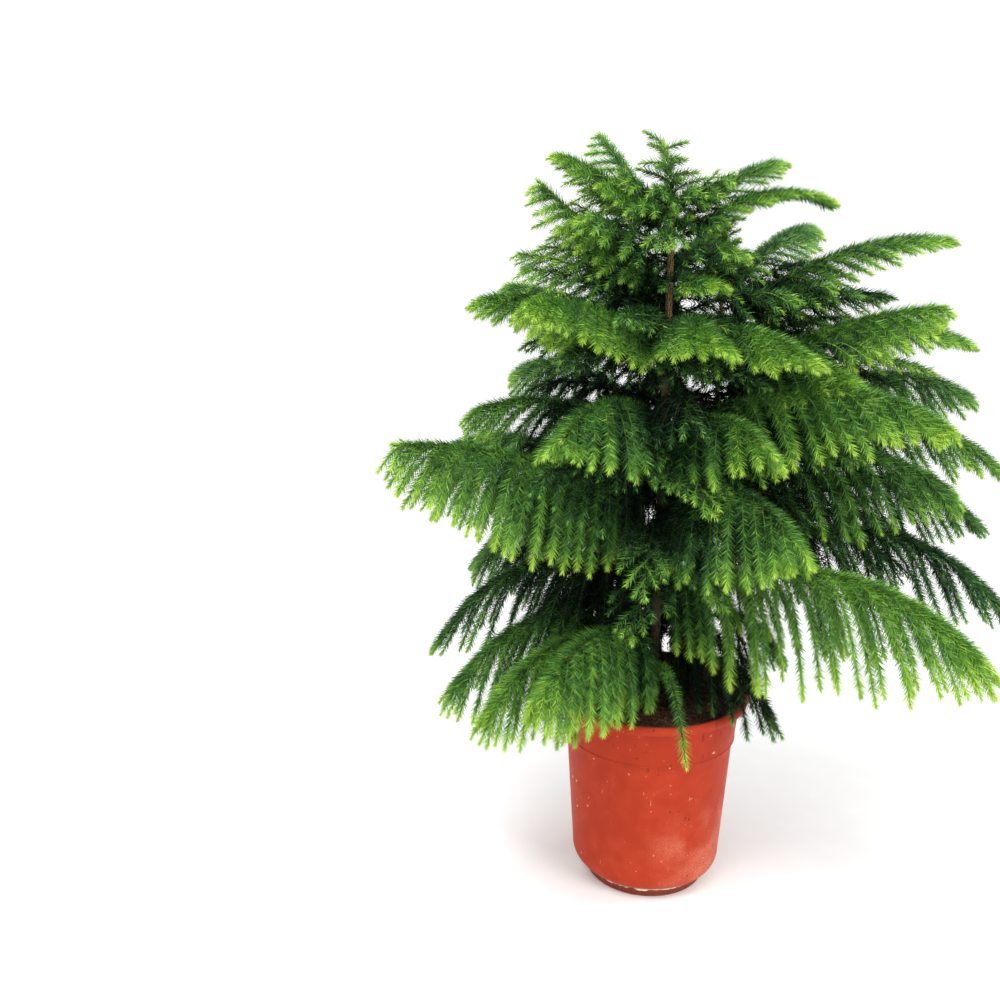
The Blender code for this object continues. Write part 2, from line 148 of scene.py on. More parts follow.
camera = bpy.data.objects.new("camera", bpy.data.cameras.new("camera"))
camera.data.sensor_width = 36.0
camera.data.lens = 37.98
camera.location = (-0.165, -1.07, 0.706)
camera.rotation_euler = (math.radians(75.5), 0, 0)
bpy.context.scene.collection.objects.link(camera)
bpy.context.scene.camera = camera
bpy.context.scene.view_settings.view_transform = "Standard"


# ======================================================================= the pot
# A round nursery pot, injection moulded in one piece from terracotta-coloured polypropylene, with a rolled
# rim, a stepped collar and a rounded shoulder over its foot. Handling has scuffed it, watering has left
# lime round the foot, and the inside of the rim is darker.
POT_HEIGHT = 0.219
RIM_RADIUS = 0.105
COLLAR_RADIUS = 0.0965
STEP_RADIUS = 0.0925
STEP_HEIGHT = 0.169
SHOULDER_RADIUS = 0.0815
SHOULDER_HEIGHT = 0.030
SHOULDER_ROUND = (0.0145, 0.0175)
FOOT_RADIUS = 0.0655
FOOT_HEIGHT = 0.010
RIM_LIP = 0.009
RIM_ROUND = 0.0048
WALL = 0.0020
POT_SIDES = 168


def piece(name, corners, faces, material, smooth, stands_for, slot):
    mesh = bpy.data.meshes.new(name)
    loops = np.concatenate([group.ravel() for group in faces]).astype(np.int32)
    sizes = np.concatenate([np.full(len(group), group.shape[1]) for group in faces])
    mesh.vertices.add(len(corners))
    mesh.vertices.foreach_set("co", np.ascontiguousarray(corners, dtype=np.float32).ravel())
    mesh.loops.add(len(loops))
    mesh.loops.foreach_set("vertex_index", loops)
    mesh.polygons.add(len(sizes))
    mesh.polygons.foreach_set("loop_start", (np.cumsum(sizes) - sizes).astype(np.int32))
    mesh.polygons.foreach_set("use_smooth", np.full(len(sizes), smooth))
    mesh.update(calc_edges=True)
    mesh.materials.append(material)
    made = bpy.data.objects.new(name, mesh)
    bpy.context.scene.collection.objects.link(made)
    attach(made, "root")
    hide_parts(*stands_for)
    return made


def lathe(profile, sides):
    """Each (radius, height) of the profile on a full circle: x = radius cos a, y = radius sin a. Its two
    ends lie on the axis, and each of those rings is a single corner."""
    angle = 2 * np.pi * np.arange(sides) / sides
    ring = np.stack([np.cos(angle), np.sin(angle)], -1)
    body = np.asarray(profile[1:-1])
    heights = np.broadcast_to(body[:, None, 1:], (len(body), sides, 1))
    around = np.concatenate([body[:, None, :1] * ring, heights], -1)
    index = np.arange(len(body) * sides).reshape(len(body), sides)
    after = np.roll(index, -1, axis=1)
    quads = np.stack([index[:-1], after[:-1], after[1:], index[1:]], -1).reshape(-1, 4)
    low, high = len(body) * sides, len(body) * sides + 1
    fan_low = np.stack([np.full(sides, low), after[0], index[0]], -1)
    fan_high = np.stack([np.full(sides, high), index[-1], after[-1]], -1)
    poles = [(0, 0, profile[0][1]), (0, 0, profile[-1][1])]
    return np.concatenate([around.reshape(-1, 3), poles]), [quads, np.concatenate([fan_low, fan_high])]


def arc(centre, radii, start, end, count):
    """Points on an ellipse: centre + (width cos a, height sin a), between two angles in degrees."""
    angle = np.radians(np.linspace(start, end, count))
    return [(centre[0] + radii[0] * np.cos(a), centre[1] + radii[1] * np.sin(a)) for a in angle]


def straight(first, last, count):
    """Points from the first to the last, the last left out."""
    share = np.arange(count)[:, None] / count
    return [tuple(point) for point in np.array(first) * (1 - share) + np.array(last) * share]


def beside(corner, *steps):
    """Points given by how far out and how far up each lies from a corner."""
    return [(corner[0] + out, corner[1] + up) for out, up in steps]


def pot_profile():
    """From the middle of the underside out round the foot, up the wall, over the rim and down inside."""
    foot = (FOOT_RADIUS, 0.0)
    shoulder = (SHOULDER_RADIUS, SHOULDER_HEIGHT)
    step = (STEP_RADIUS, STEP_HEIGHT)
    collar = (COLLAR_RADIUS, POT_HEIGHT - RIM_LIP)
    rim = (RIM_RADIUS, POT_HEIGHT - RIM_LIP)
    bead = ((0.0002, 0.0062), (0.0016, 0.0066), (0.0018, 0.0084), (0.0006, 0.0092))
    ledge = ((-0.0020, -0.0015), (-0.0017, -0.0010), (-0.0006, -0.0006), (0.0005, 0), (0.0006, 0.0010))
    return (
        [(0, 0.0)]
        + beside(foot, (-0.0012, 0), (-0.0003, 0.0004), (0, 0.0012), *bead, (0.0008, FOOT_HEIGHT + 0.0015))
        + arc(*beside(shoulder, (-SHOULDER_ROUND[0], 0)), SHOULDER_ROUND, -75, 0, 12)
        + straight(*beside(shoulder, (0, 0.001)), *beside(step, ledge[0]), 14)
        + beside(step, *ledge, (-0.0002, 0.0018))
        + straight(*beside(step, (0, 0.0026)), *beside(collar, (0, -0.003)), 8)
        + beside(collar, (0, -0.003), (0.0010, -0.0010))
        + beside(rim, (-0.0016, 0), (-0.0004, 0.0008))
        + arc((RIM_RADIUS - RIM_ROUND, POT_HEIGHT - RIM_ROUND), (RIM_ROUND, RIM_ROUND), 0, 90, 8)
        + arc((RIM_RADIUS - 0.0052, POT_HEIGHT - 0.0030), (0.0028, 0.0030), 90, 180, 5)
        + [(COLLAR_RADIUS - WALL + 0.0004, POT_HEIGHT - 0.012), (STEP_RADIUS - 2 * WALL, STEP_HEIGHT)]
        + beside(shoulder, (-WALL, 0), (-WALL - 0.010, -0.015))
        + [(FOOT_RADIUS - WALL, WALL), (0, WALL)]
    )


def bumped(tree, shader, height, strength, distance):
    """Relief from a height, fed to the shader's normal."""
    relief = node(tree, "Bump", {"Height": height, "Strength": strength, "Distance": distance})
    tree.links.new(relief.outputs[0], shader["Normal"])


def pot_plastic():
    """Orange-red plastic, its colour drifting a little, with dust and painted sheen, scratches, runs, flecks
    and lime.
    """
    made, tree, shader = finish("terracotta_plastic", 0.42)
    shader["Specular IOR Level"].default_value = 0.05
    place = node(tree, "TexCoord").outputs["Object"]
    x, y, z = node(tree, "SeparateXYZ", {0: place}).outputs
    colour, drift = mottled(tree, (0.345, 0.0325, 0.0120), (0.41, 0.0440, 0.0175), 7.0, 60.0)

    # Dust in soft clouds low on the right side, which also stands in as a painted sheen where that side is
    # lit.
    patch = noise(tree, place, 22.0, 6.0)
    right = between(tree, x, -0.030, 0.060)
    low = between(tree, z, 0.130, 0.070)
    cloud = maths(tree, "MULTIPLY", maths(tree, "MULTIPLY", right, low), between(tree, patch, 0.38, 0.68))
    grain = between(tree, noise(tree, place, 1100.0, 2.0), 0.42, 0.66)
    dust_and_painted_sheen = maths(tree, "MULTIPLY", maths(tree, "MULTIPLY_ADD", grain, 0.75, 0.20), cloud)
    colour = mixed(tree, dust_and_painted_sheen, colour, (0.66, 0.24, 0.15))

    # Upright scratches, where the pot was rubbed.
    stretched = {"Vector": place, "Rotation": (0.3, 0.5, 0), "Scale": (900, 900, 34)}
    streaks = node(tree, "Mapping", stretched).outputs[0]
    scratch = between(tree, noise(tree, streaks, 1.0, 2.0), 0.70, 0.76)
    scratch = maths(tree, "MULTIPLY", scratch, between(tree, noise(tree, place, 30.0), 0.52, 0.66))
    colour = mixed(tree, maths(tree, "MULTIPLY", scratch, 0.7), colour, (0.80, 0.42, 0.30))

    # Dark runs of dirty water from the collar's ledge.
    runs = node(tree, "Mapping", {"Vector": place, "Scale": (240, 240, 46)}).outputs[0]
    run = between(tree, noise(tree, runs, 1.0, 2.0), 0.655, 0.700)
    drips = maths(tree, "MULTIPLY", run, between(tree, z, 0.150, 0.172))
    colour = mixed(tree, maths(tree, "MULTIPLY", drips, 0.75), colour, (0.100, 0.018, 0.008))

    # Dark pits and pale flecks: dots on a cell pattern, with ragged outlines, in patches. For each kind:
    # cells to the metre, size in the cell, rarity and colour.
    wobble = node(tree, "TexNoise", {"Vector": place, "Scale": 260.0}).outputs["Color"]
    shake = {0: wobble, 1: (0.006, 0.006, 0.006), 2: place}
    shaken = node(tree, "VectorMath", shake, operation="MULTIPLY_ADD").outputs[0]
    for scale, dot, rarity, shade in (
        (150.0, 0.19, 0.575, (0.07, 0.018, 0.010)),
        (170.0, 0.20, 0.600, (0.58, 0.25, 0.16)),
        (70.0, 0.14, 0.555, (0.66, 0.34, 0.24)),
    ):
        dots = node(tree, "TexVoronoi", {"Vector": shaken, "Scale": scale}).outputs["Distance"]
        near = between(tree, dots, dot, dot * 0.6)
        where = between(tree, noise(tree, place, scale * 0.35, 2.0), rarity, rarity + 0.04)
        colour = mixed(tree, maths(tree, "MULTIPLY", near, where), colour, shade)

    # A dirty foot, and a broken line of lime over it.
    ragged = maths(tree, "MULTIPLY_ADD", noise(tree, place, 130.0, 5.0), 0.004, z)
    foot = between(tree, ragged, 0.0130, 0.0110)
    colour = mixed(tree, maths(tree, "MULTIPLY", foot, 0.80), colour, (0.17, 0.046, 0.026))
    over_dirt = between(tree, ragged, 0.0100, 0.0108)
    lime = maths(tree, "MULTIPLY", over_dirt, between(tree, ragged, 0.0166, 0.0156))
    lime = maths(tree, "MULTIPLY", lime, between(tree, noise(tree, place, 42.0, 5.0), 0.40, 0.50))
    colour = mixed(tree, lime, colour, (0.80, 0.72, 0.62))

    # The inside of the rim darker: where a point lies deeper than the outer wall at its height.
    level = node(tree, "CombineXYZ", {0: x, 1: y}).outputs[0]
    radius = node(tree, "VectorMath", {0: level}, operation="LENGTH")
    slope = 0.105
    wall = maths(tree, "MULTIPLY_ADD", z, slope, STEP_RADIUS - slope * STEP_HEIGHT)
    deep = maths(tree, "SUBTRACT", wall, radius.outputs["Value"])
    upper = maths(tree, "MULTIPLY", between(tree, z, 0.2095, 0.2100), 0.0045)
    inside = between(tree, maths(tree, "ADD", deep, upper), 0.0008, 0.0014)
    inner_rim_darkening = maths(tree, "MULTIPLY", inside, between(tree, z, 0.190, 0.200))
    colour = mixed(tree, maths(tree, "MULTIPLY", inner_rim_darkening, 0.88), colour, (0.075, 0.028, 0.016))

    tree.links.new(colour, shader["Base Color"])
    dull = maths(tree, "ADD", 0.28, maths(tree, "MULTIPLY", maths(tree, "ADD", dust_and_painted_sheen, patch), 0.28))
    tree.links.new(dull, shader["Roughness"])
    relief = maths(tree, "ADD", maths(tree, "MULTIPLY", drift, 0.4), maths(tree, "MULTIPLY", scratch, -0.5))
    bumped(tree, shader, relief, 0.25, 0.0006)
    return made


piece("pot", *lathe(pot_profile(), POT_SIDES), pot_plastic(), True, ["pot"], "terracotta_plastic")


# ======================================================================= the compost
# Moist peat compost fills the pot to a finger's width under the rim. Crumbs, reddish root fibres and a few
# fallen needles lie loose on it.
SOIL_LEVEL = POT_HEIGHT - 0.014
MOUND = 0.003
SOIL_TOP = SOIL_LEVEL + MOUND
GAP = 0.0003
dice = np.random.default_rng(21)


def bumps(x, y, size, seed):
    """A gentle random relief: the mean of twelve plane waves of about the given wavelength."""
    own = np.random.default_rng(seed)
    way = own.uniform(0, 2 * np.pi, 12)
    pace = 2 * np.pi / (size * own.uniform(0.6, 1.8, 12))
    phase = own.uniform(0, 2 * np.pi, 12)
    return sum(np.sin(pace[k] * (x * np.cos(way[k]) + y * np.sin(way[k])) + phase[k]) for k in range(12)) / 12


def soil_height(x, y):
    """The compost's level, mounded inside its edge, plus clods and crumbs that fade out at the wall."""
    away = np.hypot(x, y)
    mound = SOIL_LEVEL + MOUND * np.clip((COLLAR_RADIUS - away) / 0.016, 0, 1)
    edge = np.clip((COLLAR_RADIUS - WALL - away) / 0.006, 0, 1)
    return mound + edge * (0.0032 * bumps(x, y, 0.022, 1) + 0.0022 * bumps(x, y, 0.0070, 2)) - 0.0008 * edge


def tubes(paths, radii, sides):
    """Many closed tubes at once. Every path point carries a ring square to the path: point + radius x
    (cos a x across + sin a x up). Returns the corners, the side faces and the end faces."""
    along = np.gradient(paths, axis=1)
    along /= np.linalg.norm(along, axis=-1, keepdims=True)
    steep = np.abs(along[:, :, 2:]).max(1, keepdims=True) > 0.97
    across = np.cross(along, np.where(steep, (1.0, 0.0, 0.0), (0.0, 0.0, 1.0)))
    across /= np.linalg.norm(across, axis=-1, keepdims=True)
    up = np.cross(across, along)
    angle = (2 * np.pi * np.arange(sides) / sides)[:, None]
    ring = np.cos(angle) * across[:, :, None] + np.sin(angle) * up[:, :, None]
    corners = paths[:, :, None] + radii[:, :, None, None] * ring
    index = np.arange(corners[..., 0].size).reshape(corners.shape[:3])
    after = np.roll(index, -1, axis=-1)
    walls = np.stack([index[:, :-1], index[:, 1:], after[:, 1:], after[:, :-1]], -1).reshape(-1, 4)
    return corners.reshape(-1, 3), [walls, np.concatenate([index[:, 0], index[:, -1, ::-1]])]


def peat(name, dark, light, fine, relief):
    """Dull, crumbly matter in two browns."""
    made, tree, shader = finish(name, 0.92)
    colour, height = mottled(tree, dark, light, 90.0, fine)
    tree.links.new(colour, shader["Base Color"])
    bumped(tree, shader, height, 0.7, relief)
    return made


def compost_surface():
    """The root ball as a turned body with many rings on its top. Those rings are marked by a height of 1
    and then take the height of the soil relief."""
    inside = WALL + GAP
    brink = COLLAR_RADIUS - inside - GAP
    wall = [(0, inside), (FOOT_RADIUS - inside, inside)]
    wall += beside((SHOULDER_RADIUS - inside, SHOULDER_HEIGHT), (-0.010, -0.015), (0, 0))
    wall += [(STEP_RADIUS - inside - WALL, STEP_HEIGHT), (brink, SOIL_LEVEL - 0.001)]
    top = [(radius, 1.0) for radius in np.linspace(brink, 0.001, 62)]
    corners, faces = lathe(wall + top + [(0, 1.0)], 220)
    high = corners[:, 2] > 0.9
    corners[high, 2] = soil_height(corners[high, 0], corners[high, 1])
    return corners, faces


def crumbs(count):
    """Lumps of peat: an eight-sided lump is stretched, turned and half sunk in the soil at each place."""
    lump = np.array([(1, 0, 0), (-1, 0, 0), (0, 1, 0), (0, -1, 0), (0, 0, 1), (0, 0, -1)])
    skin = np.array([(0, 2, 4), (2, 1, 4), (1, 3, 4), (3, 0, 4), (2, 0, 5), (1, 2, 5), (3, 1, 5), (0, 3, 5)])
    away = (COLLAR_RADIUS - WALL - 0.003) * np.sqrt(dice.random(count))
    angle = dice.uniform(0, 2 * np.pi, count)
    x, y = away * np.cos(angle), away * np.sin(angle)
    size = 0.0005 + 0.0022 * dice.random((count, 1)) ** 3
    shape = lump[None] * (size * dice.uniform(0.5, 1.3, (count, 3)))[:, None]
    turn = np.linalg.qr(dice.normal(size=(count, 3, 3)))[0]
    turn *= np.sign(np.linalg.det(turn))[:, None, None]
    place = np.stack([x, y, soil_height(x, y) + size[:, 0] * 0.4], -1)
    corners = np.einsum("nij,nkj->nki", turn, shape) + place[:, None]
    return corners.reshape(-1, 3), [(skin[None] + 6 * np.arange(count)[:, None, None]).reshape(-1, 3)]


def fibres(count, longest, thickness):
    """Curved strands lying on the soil: heading = start + bend x distance, summed along the strand."""
    steps = 7
    away = 0.084 * np.sqrt(dice.random(count))
    angle = dice.uniform(0, 2 * np.pi, count)
    way = dice.uniform(0, 2 * np.pi, (count, 1)) + dice.normal(0, 0.9, (count, 1)) * np.linspace(0, 1, steps)
    pace = longest * dice.uniform(0.35, 1, (count, 1)) / steps
    x = (away * np.cos(angle))[:, None] + np.cumsum(np.cos(way) * pace, 1)
    y = (away * np.sin(angle))[:, None] + np.cumsum(np.sin(way) * pace, 1)
    keep = np.hypot(x, y).max(1) < COLLAR_RADIUS - WALL - 0.002
    x, y = x[keep], y[keep]
    lift = dice.uniform(0, 0.003, (len(x), 1)) * np.sin(np.linspace(0.2, 3.0, steps))
    paths = np.stack([x, y, soil_height(x, y) + thickness * 0.6 + lift], -1)
    radii = thickness * 0.5 * dice.uniform(0.6, 1.3, (len(x), 1)) * np.linspace(1, 0.5, steps)
    return tubes(paths, radii, 3)


soil = peat("compost", (0.010, 0.0055, 0.004), (0.055, 0.026, 0.014), 700.0, 0.0015)
lumps = peat("compost_crumbs", (0.016, 0.008, 0.005), (0.085, 0.038, 0.018), 900.0, 0.0006)
strands = peat("root_fibre", (0.085, 0.028, 0.012), (0.21, 0.085, 0.035), 400.0, 0.0002)
piece("compost", *compost_surface(), soil, True, ["compost"], "compost")
piece("compost_crumbs", *crumbs(3600), lumps, False, ["compost"], "compost")
piece("compost_fibres", *fibres(520, 0.030, 0.0007), strands, True, ["compost"], "compost")
piece("compost_litter", *fibres(260, 0.011, 0.0010), strands, True, ["compost"], "compost")


# ======================================================================= the stems
# A young trunk and a thinner second stem, rooted together. Their thin bark is ringed with the scars of
# fallen needles, dark and flaky below, tan higher up and green at the growing points.
BARK_RINGS = 0.0011
BARK_SIDES = 22
STEM_SUNK = 0.004
STEMS = {
    "trunk": dict(
        foot=(0.003, 0.0), top=0.729, drift=0.001, radius=0.0056, tip=0.0030, lean=-0.22, leader=0.056),
    "second_stem": dict(
        foot=(0.066, 0.038), top=0.668, drift=-0.002, radius=0.0046, tip=0.0016, lean=0.0, leader=0.048),
}


def stem_axis(stem, height):
    """x = foot + drift x share of the height, y = foot, z = height."""
    share = (height - SOIL_TOP) / (stem["top"] - SOIL_TOP)
    x = stem["foot"][0] + stem["drift"] * share
    return np.stack([x, np.full_like(height, stem["foot"][1]), height], -1)


def stem_radius(stem, height):
    """A steady taper from foot to top, and a flare that dies out above the compost."""
    share = (height - SOIL_TOP) / (stem["top"] - SOIL_TOP)
    taper = stem["radius"] + (stem["tip"] - stem["radius"]) * share
    return taper + 0.5 * stem["radius"] * np.exp(-(height - SOIL_TOP) / 0.0125)


def bark_scars(angle, height):
    """Needle scars where two families of spirals cross: cos(5a + h) x cos(3a - h), where it is positive."""
    return np.clip(np.cos(5 * angle + height * 1150) * np.cos(3 * angle - height * 1450), 0, 1)


def stem_surface(stem, sides):
    """A ring at every small step of height, its radius raised by the needle scars and by slow swellings."""
    height = np.arange(SOIL_TOP - STEM_SUNK, stem["top"], BARK_RINGS)
    angle = 2 * np.pi * np.arange(sides) / sides
    scars = bark_scars(angle[None], height[:, None])
    swelling = 1 + 0.035 * bumps(height[:, None] * 3, angle[None] * 0.02, 0.03, 5)
    radius = stem_radius(stem, np.maximum(height, SOIL_TOP))[:, None] * swelling
    radius = radius + 0.00055 * scars - 0.00018
    ring = np.stack([np.cos(angle), np.sin(angle), np.zeros(sides)], -1)
    corners = stem_axis(stem, height)[:, None] + radius[..., None] * ring
    index = np.arange(len(height) * sides).reshape(len(height), sides)
    after = np.roll(index, -1, axis=1)
    walls = np.stack([index[:-1], after[:-1], after[1:], index[1:]], -1).reshape(-1, 4)
    return corners.reshape(-1, 3), [walls, np.stack([index[0, ::-1], index[-1]])], scars


def bark():
    """Browns that change with height, darker and redder between the raised scars, and rough all over."""
    made, tree, shader = finish("young_bark", 0.78)
    place = node(tree, "TexCoord").outputs["Object"]
    z = node(tree, "SeparateXYZ", {0: place}).outputs[2]
    old, height = mottled(tree, (0.022, 0.012, 0.007), (0.085, 0.044, 0.022), 160.0, 900.0)
    tan = mottled(tree, (0.26, 0.165, 0.060), (0.52, 0.36, 0.155), 160.0, 900.0)[0]
    green = mottled(tree, (0.06, 0.11, 0.02), (0.20, 0.30, 0.06), 160.0, 900.0)[0]
    colour = mixed(tree, between(tree, z, 0.50, 0.62), old, tan)
    colour = mixed(tree, between(tree, z, 0.690, 0.725), colour, green)
    scar = node(tree, "Attribute", attribute_name="scar").outputs["Fac"]
    hollow = maths(tree, "MULTIPLY", between(tree, scar, 0.30, 0.0), 0.62)
    colour = mixed(tree, hollow, colour, (0.060, 0.034, 0.014))
    tree.links.new(colour, shader["Base Color"])
    bumped(tree, shader, height, 0.6, 0.0008)
    return made


bark_finish = bark()
for name, stem in STEMS.items():
    corners, faces, scars = stem_surface(stem, BARK_SIDES)
    made = piece(name, corners, faces, bark_finish, True, [name], "young_bark")
    mark = made.data.attributes.new("scar", "FLOAT", "POINT")
    mark.data.foreach_set("value", scars.astype(np.float32).ravel())


# ======================================================================= the boughs and frond axes
# Each stem carries tiers of flat fronds, and weak shoots between them, each on a thin woody axis. The three
# longest fronds set off as boughs. Compass angles are seen from above: 0 faces the front, 90 the right.
AXIS_RADIUS = 0.0010
AXIS_RADIUS_SHARE = 0.0030
BOUGH_SHARE = 0.14
BOUGH_FROM_REACH = 0.34
BOUGH_EXTRA_WIDTH = 1.12
STAGGER = 0.005
WEAK_LONGEST = 0.058
WEAK_RADIUS = 0.0012
INNER_UP_TO_REACH = 0.33
INNER_UP_TO_HEIGHT = 0.68
INNER_FROM_LONGEST = 0.05
OVER_POT_HEIGHT = 0.30
OPEN_FRONT = 0.84
# For each tier: stem, height, slope at the start, angle at which its twigs end, longest twig, and for each
# frond its compass angle, its reach, the height its tip gains and how fresh its growth is.
TIERS = {
    "shoot": ("trunk", 0.250, 0.40, -45, 0.010, ((3, 0.165, -0.036, 1.00),)),
    "low": ("trunk", 0.262, 0.40, -78, 0.085, ((44, 0.152, -0.036, 0.20),)),
    "tier1": ("trunk", 0.275, 0.42, -84, 0.132, (
        (112, 0.170, -0.050, 0.25), (160, 0.200, -0.040, 0.35), (205, 0.215, -0.045, 0.35),
        (286, 0.232, -0.048, 0.80), (306, 0.228, -0.034, 1.00), (322, 0.216, -0.004, 0.85))),
    "tier2": ("trunk", 0.339, 0.40, -78, 0.150, (
        (54, 0.335, -0.012, 1.12), (92, 0.385, -0.046, 0.25), (165, 0.275, -0.050, 0.45),
        (222, 0.290, -0.050, 0.45), (270, 0.235, -0.066, 0.30))),
    "tier3": ("trunk", 0.434, 0.42, -76, 0.124, (
        (24, 0.215, 0.010, 0.60), (82, 0.295, 0.005, 0.50), (140, 0.260, -0.010, 0.45),
        (188, 0.290, 0.000, 0.55), (238, 0.290, 0.015, 0.50), (272, 0.240, 0.010, 0.45),
        (300, 0.306, 0.090, 0.80))),
    "tier4": ("trunk", 0.504, 0.45, -62, 0.100, (
        (22, 0.170, 0.020, 0.70), (62, 0.275, 0.018, 0.80), (172, 0.240, 0.020, 0.45),
        (216, 0.250, 0.030, 0.50), (281, 0.200, 0.030, 0.45), (328, 0.218, 0.020, 0.55))),
    "tier5": ("trunk", 0.589, 0.50, -46, 0.074, (
        (44, 0.165, 0.000, 0.74), (178, 0.195, 0.045, 0.55), (234, 0.200, 0.060, 0.55),
        (277, 0.195, 0.042, 0.60), (316, 0.211, 0.057, 0.78), (5, 0.150, 0.010, 0.68))),
    "tier6": ("trunk", 0.644, 0.65, -28, 0.060, (
        (30, 0.070, 0.012, 0.70), (150, 0.140, 0.050, 0.55), (208, 0.150, 0.055, 0.55),
        (282, 0.137, 0.100, 0.75))),
    "tier7": ("trunk", 0.694, 0.95, -8, 0.052, (
        (78, 0.150, 0.034, 0.55), (118, 0.135, 0.071, 0.50), (207, 0.138, 0.114, 0.50),
        (282, 0.117, 0.073, 0.55))),
    "side1": ("second_stem", 0.394, 0.30, -72, 0.130, ((112, 0.395, -0.045, 0.25),)),
    "side2": ("second_stem", 0.490, 0.35, -64, 0.110, (
        (86, 0.310, -0.038, 0.55), (114, 0.370, 0.012, 0.45), (150, 0.255, 0.005, 0.50))),
    "side3": ("second_stem", 0.554, 0.50, -44, 0.080, (
        (42, 0.155, 0.015, 0.74), (72, 0.216, 0.072, 0.75), (103, 0.305, 0.026, 0.55),
        (168, 0.210, 0.030, 0.50))),
    "side4": ("second_stem", 0.619, 0.72, -26, 0.062, (
        (90, 0.235, 0.078, 0.60), (140, 0.215, 0.080, 0.55))),
}


def unit(vectors):
    """Each vector divided by its own length."""
    return vectors / np.linalg.norm(vectors, axis=-1, keepdims=True)


def heading(angle):
    """The level direction of a compass angle in degrees."""
    angle = np.radians(angle)
    return np.stack([np.sin(angle), -np.cos(angle), np.zeros_like(angle)], -1)


def axis_point(frond, share):
    """Out along the frond's heading in proportion to share, and up by reach x (climb x share - sag x
    share^n): an arch that starts at the stem's bark and ends at the tip's height. The more its twigs
    hang, the larger n is."""
    lean = frond["climb"] / math.hypot(1, frond["climb"])
    stem = STEMS[frond["stem"]]
    foot = stem_axis(stem, np.array(frond["height"]))
    start = stem_radius(stem, frond["height"]) + GAP + BOUGH_EXTRA_WIDTH * frond["radius"] * lean
    sag = frond["climb"] - frond["rise"] / frond["reach"]
    out = start + (frond["reach"] - start) * share
    up = frond["reach"] * (frond["climb"] * share - sag * share ** (2 - frond["hang"] / 80))
    level = heading(np.array(frond["angle"]))
    return foot + level * out[:, None] + up[:, None] * np.array([0, 0, 1])


def list_fronds():
    """One dictionary of sizes for each frond, named as its node is. Neighbours are staggered in height."""
    found = []
    for tier, (stem, height, climb, hang, longest, sizes) in TIERS.items():
        for number, (angle, reach, rise, fresh) in enumerate(sizes, start=1):
            bough = BOUGH_SHARE if reach > BOUGH_FROM_REACH else 0.0
            found.append(dict(
                name=f"{tier}_{number}", stem=stem, height=height + STAGGER * (-1) ** number, climb=climb,
                hang=hang, longest=min(longest, 0.56 * reach), angle=float(angle), reach=reach, rise=rise,
                fresh=fresh, bough=bough, radius=AXIS_RADIUS + AXIS_RADIUS_SHARE * reach))
    return found


# Weak shoots that no tier counts. For each: height, compass angle, reach and the height its tip gains.
WEAK_SHOOTS = (
    ("trunk", (
        (0.727, 70, 0.058, 0.030), (0.727, 110, 0.050, 0.034), (0.727, 285, 0.060, 0.030),
        (0.727, 250, 0.055, 0.036), (0.724, 330, 0.050, 0.020), (0.724, 20, 0.050, 0.018),
        (0.722, 180, 0.055, 0.030), (0.722, 96, 0.052, 0.012), (0.718, 255, 0.080, 0.022),
        (0.712, 322, 0.074, 0.010), (0.704, 62, 0.056, 0.006), (0.690, 345, 0.078, -0.004),
        (0.694, 112, 0.056, 0.012), (0.700, 178, 0.085, 0.026), (0.684, 300, 0.110, 0.030),
        (0.676, 40, 0.085, 0.004), (0.665, 85, 0.080, 0.016), (0.650, 8, 0.080, -0.004),
        (0.702, 245, 0.105, 0.072), (0.706, 268, 0.085, 0.045), (0.680, 255, 0.100, 0.050),
        (0.668, 308, 0.112, 0.050), (0.655, 240, 0.125, 0.052), (0.648, 285, 0.135, 0.040),
        (0.630, 256, 0.155, 0.050), (0.620, 296, 0.165, 0.048), (0.612, 215, 0.130, 0.040),
        (0.604, 334, 0.120, 0.022), (0.600, 270, 0.180, 0.030), (0.640, 170, 0.100, 0.035),
        (0.636, 100, 0.095, 0.030), (0.606, 20, 0.085, 0.010), (0.470, 8, 0.150, -0.020),
        (0.400, 346, 0.150, -0.030), (0.385, 18, 0.130, -0.034), (0.345, 340, 0.120, -0.030))),
    ("second_stem", (
        (0.612, 58, 0.110, 0.040), (0.604, 112, 0.165, 0.052), (0.592, 88, 0.165, 0.044),
        (0.570, 128, 0.180, 0.030), (0.560, 60, 0.160, 0.030), (0.530, 96, 0.240, 0.022),
        (0.524, 66, 0.190, 0.010), (0.545, 150, 0.170, 0.030))),
    ("trunk", (
        (0.305, 181, 0.130, -0.030), (0.440, 206, 0.140, -0.020), (0.712, 262, 0.064, 0.050),
        (0.716, 298, 0.056, 0.046), (0.724, 74, 0.050, 0.026), (0.618, 80, 0.120, 0.022))),
)


